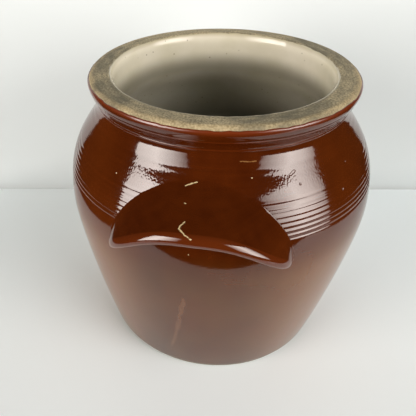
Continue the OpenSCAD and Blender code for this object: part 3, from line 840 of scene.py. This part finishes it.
print("a slice has", len(slice_outline(0, 0, LUTING)), "points")

# %% [markdown]
# Each lug is a core of clay and a skin of glaze, two sets of slices from the same curves. The slices crowd
# towards the ends, where the form turns fastest. The opposite lug is the same set half a turn round the
# pot. The thin bed of slip between lug and wall keeps its CAD solid, because the skin covers it.

# %% Joining the slices
END_TURN, LUG_SLICES = 86, 140


def loft(name, rings, finish, thin=None):
    """A closed piece through rings of equally many points, with a fan over each end."""
    rings = np.array(rings)
    rows, count = rings.shape[:2]
    points = np.vstack([rings.reshape(-1, 3), rings[0].mean(0), rings[-1].mean(0)])
    following = [(j + 1) % count for j in range(count)]
    faces = []
    for near in range(0, (rows - 1) * count, count):
        far = near + count
        faces += [(near + j, near + following[j], far + following[j], far + j) for j in range(count)]
    last = (rows - 1) * count
    for j in range(count):
        faces.append((rows * count, following[j], j))
        faces.append((rows * count + 1, last + j, last + following[j]))
    mesh = bpy.data.meshes.new(name)
    mesh.from_pydata(points * MM, [], faces)
    thins = np.zeros(len(points)) if thin is None else np.append(np.tile(thin, rows), [0, 0])
    mesh.attributes.new("thin", "FLOAT", "POINT").data.foreach_set("value", thins)
    mesh.materials.append(finish)
    finish_mesh(mesh)
    mesh.shade_smooth()
    piece = bpy.data.objects.new(name, mesh)
    bpy.context.scene.collection.objects.link(piece)
    return piece


turns = np.radians(np.linspace(-END_TURN, END_TURN, LUG_SLICES + 1))
clay_rings = [slice_outline(turn, 0, LUTING) for turn in turns]
glaze_rings = [slice_outline(turn, GLAZE, SEAT_GAP) for turn in turns]
print("a lug has", len(clay_rings), "slices")

# %% The lugs, front and rear
LIP_THIN = 0.6
lip_share = np.zeros(len(glaze_rings[0]))
lip_share[FACE_STEPS:FACE_STEPS + LIP_STEPS] = LIP_THIN
for side, way in (("front", 1), ("rear", -1)):
    half_turn = np.array([way, way, 1])
    core = loft(f"{side}_lug_clay", [ring * half_turn for ring in clay_rings], CLAY)
    settle(core, "stoneware", f"{side}_lug")
    skin = loft(f"{side}_lug_coat", [ring * half_turn for ring in glaze_rings], BROWN, lip_share)
    settle(skin, "brown_glaze", f"{side}_lug_glaze")
    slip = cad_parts[f"{side}_luting"]
    slip.data.materials.clear()
    slip.data.materials.append(SLIP)

# %% [markdown]
# ## Table and wall
# The pot stands on a white table in front of a pale wall. The table is only as large as its reflection in
# the glaze shows, and the room beyond it is dim. The wall's back is clear, so that the pot can be looked at
# from behind too. Two flat sheets are enough, because nothing but their colour and their edges is seen.

# %% Table and wall
TABLE_FRONT, TABLE_BACK, TABLE_LEFT, TABLE_RIGHT = -282, 180, -335, 400
WALL_LOW, WALL_HIGH, WALL_LEFT, WALL_RIGHT, WALL_GAP = -60, 500, -320, 320, 2.5
STAGE_TURN = math.radians(10.1)


def plain_surface(name, code, roughness):
    material, tree, shader = new_material(name)
    feed(tree, shader, {"Base Color": linear(code), "Roughness": roughness})
    return material, tree, shader


def stage_sheet(name, corners, material):
    mesh = bpy.data.meshes.new(name)
    mesh.from_pydata([Vector(c) * MM for c in corners], [], [(0, 1, 2, 3)])
    mesh.materials.append(material)
    sheet = bpy.data.objects.new(name, mesh)
    sheet.matrix_world = Matrix.Rotation(STAGE_TURN, 4, "Z")
    bpy.context.scene.collection.objects.link(sheet)


table_white = plain_surface("white_table", "#f0f7f8", roughness=0.5)[0]
stage_sheet("table", [(TABLE_LEFT, TABLE_FRONT, 0), (TABLE_RIGHT, TABLE_FRONT, 0),
                      (TABLE_RIGHT, TABLE_BACK - WALL_GAP, 0), (TABLE_LEFT, TABLE_BACK - WALL_GAP, 0)],
            table_white)
wall_white, wall_tree, wall_shader = plain_surface("pale_wall", "#c6cdce", roughness=0.8)
turned_away = add(wall_tree, "ShaderNodeNewGeometry").outputs["Backfacing"]
clear = add(wall_tree, "ShaderNodeBsdfTransparent").outputs[0]
one_sided = add(wall_tree, "ShaderNodeMixShader", {0: turned_away, 1: wall_shader.outputs[0], 2: clear})
feed(wall_tree, wall_tree.nodes["Material Output"], {"Surface": one_sided.outputs[0]})
stage_sheet("wall_behind", [(WALL_LEFT, TABLE_BACK, WALL_LOW), (WALL_RIGHT, TABLE_BACK, WALL_LOW),
                            (WALL_RIGHT, TABLE_BACK, WALL_HIGH), (WALL_LEFT, TABLE_BACK, WALL_HIGH)],
            wall_white)
print("table", TABLE_RIGHT - TABLE_LEFT, "by", TABLE_BACK - TABLE_FRONT, "mm")

# %% [markdown]
# ## Windows and room
# Two tall windows light the pot from the front left and the front right, dimmed towards their sides as by
# curtains. Area lights stand for them, placed by mirroring the view rays at the highlights' edges. An image
# of a room could light the pot too, but a lamp's edges can be moved one by one. A weak lamp, which no
# reflection shows, fills in for light from the rest of the room, and the camera sees a pale grey behind.

# %% Windows
POT_EYE = Vector((0, -0.09, 0.185))
WINDOW_FAR = 5.0
DAYLIGHT = linear("#fff7f0")


def hang(light, place, towards):
    """A lamp at this place that shines back along a direction, unseen by the camera."""
    lamp = bpy.data.objects.new(light.name, light)
    lamp.location = place
    lamp.rotation_mode = "QUATERNION"
    lamp.rotation_quaternion = towards.to_track_quat("Z", "Y")
    lamp.visible_camera = False
    bpy.context.scene.collection.objects.link(lamp)
    return lamp


def window(name, left, right, low, high, radiance, shares):
    """An area light that fills these angles, in degrees, as seen from the pot's shoulder.

    The shares are (place, brightness) pairs across it, as curtains at its sides dim it.
    """
    azimuth, elevation = math.radians((left + right) / 2), math.radians((low + high) / 2)
    towards = Vector((math.sin(azimuth) * math.cos(elevation), -math.cos(azimuth) * math.cos(elevation),
                      math.sin(elevation)))
    light = bpy.data.lights.new(name, "AREA")
    light.shape = "RECTANGLE"
    light.size = 2 * WINDOW_FAR * math.tan(math.radians(right - left) / 2)
    light.size_y = 2 * WINDOW_FAR * math.tan(math.radians(high - low) / 2)
    light.energy = radiance * math.pi * light.size * light.size_y
    light.use_nodes = True
    tree = light.node_tree
    across = add(tree, "ShaderNodeNewGeometry").outputs["Parametric"]
    sideways = add(tree, "ShaderNodeSeparateXYZ", {0: across}).outputs["X"]
    curtain = add(tree, "ShaderNodeValToRGB", {"Fac": sideways})
    set_stops(curtain, *[(where, tuple(share * part for part in DAYLIGHT[:3]) + (1,))
                         for where, share in shares])
    feed(tree, tree.nodes["Emission"], {"Color": curtain.outputs[0]})
    hang(light, POT_EYE + towards * WINDOW_FAR, towards)
    print(f"{name}: {light.size:.2f} by {light.size_y:.2f} m, {light.energy:.0f} W")


window("left_window", left=-66, right=-20, low=-16, high=30, radiance=11.8,
       shares=[(0, 0.7), (0.42, 1), (0.68, 0.65), (1, 0.1)])
window("right_window", left=41, right=89, low=-11, high=30, radiance=10,
       shares=[(0, 0.2), (0.52, 1), (0.75, 0.75), (1, 0.25)])

# %% The room
FILL_WATTS, FILL_SIZE, FILL_PLACE = 15, 1.4, Vector((1.2, -0.8, 1.4))
ROOM_GLOW = 0.014

fill = bpy.data.lights.new("room_fill", "AREA")
fill.size = FILL_SIZE
fill.energy = FILL_WATTS
hang(fill, FILL_PLACE, FILL_PLACE).visible_glossy = False

world = bpy.data.worlds.new("dim_room")
bpy.context.scene.world = world
world.use_nodes = True
room = world.node_tree
dim = room.nodes["Background"]
feed(room, dim, {"Color": linear("#ffe6c8"), "Strength": ROOM_GLOW})
pale = add(room, "ShaderNodeBackground", {"Color": linear("#dededc"), "Strength": 1.0})
seen = add(room, "ShaderNodeLightPath").outputs["Is Camera Ray"]
both = add(room, "ShaderNodeMixShader", {0: seen, 1: dim.outputs[0], 2: pale.outputs[0]})
feed(room, room.nodes["World Output"], {"Surface": both.outputs[0]})
bpy.context.scene.view_settings.view_transform = "Standard"
print(f"fill {FILL_WATTS} W, room glow {ROOM_GLOW}")
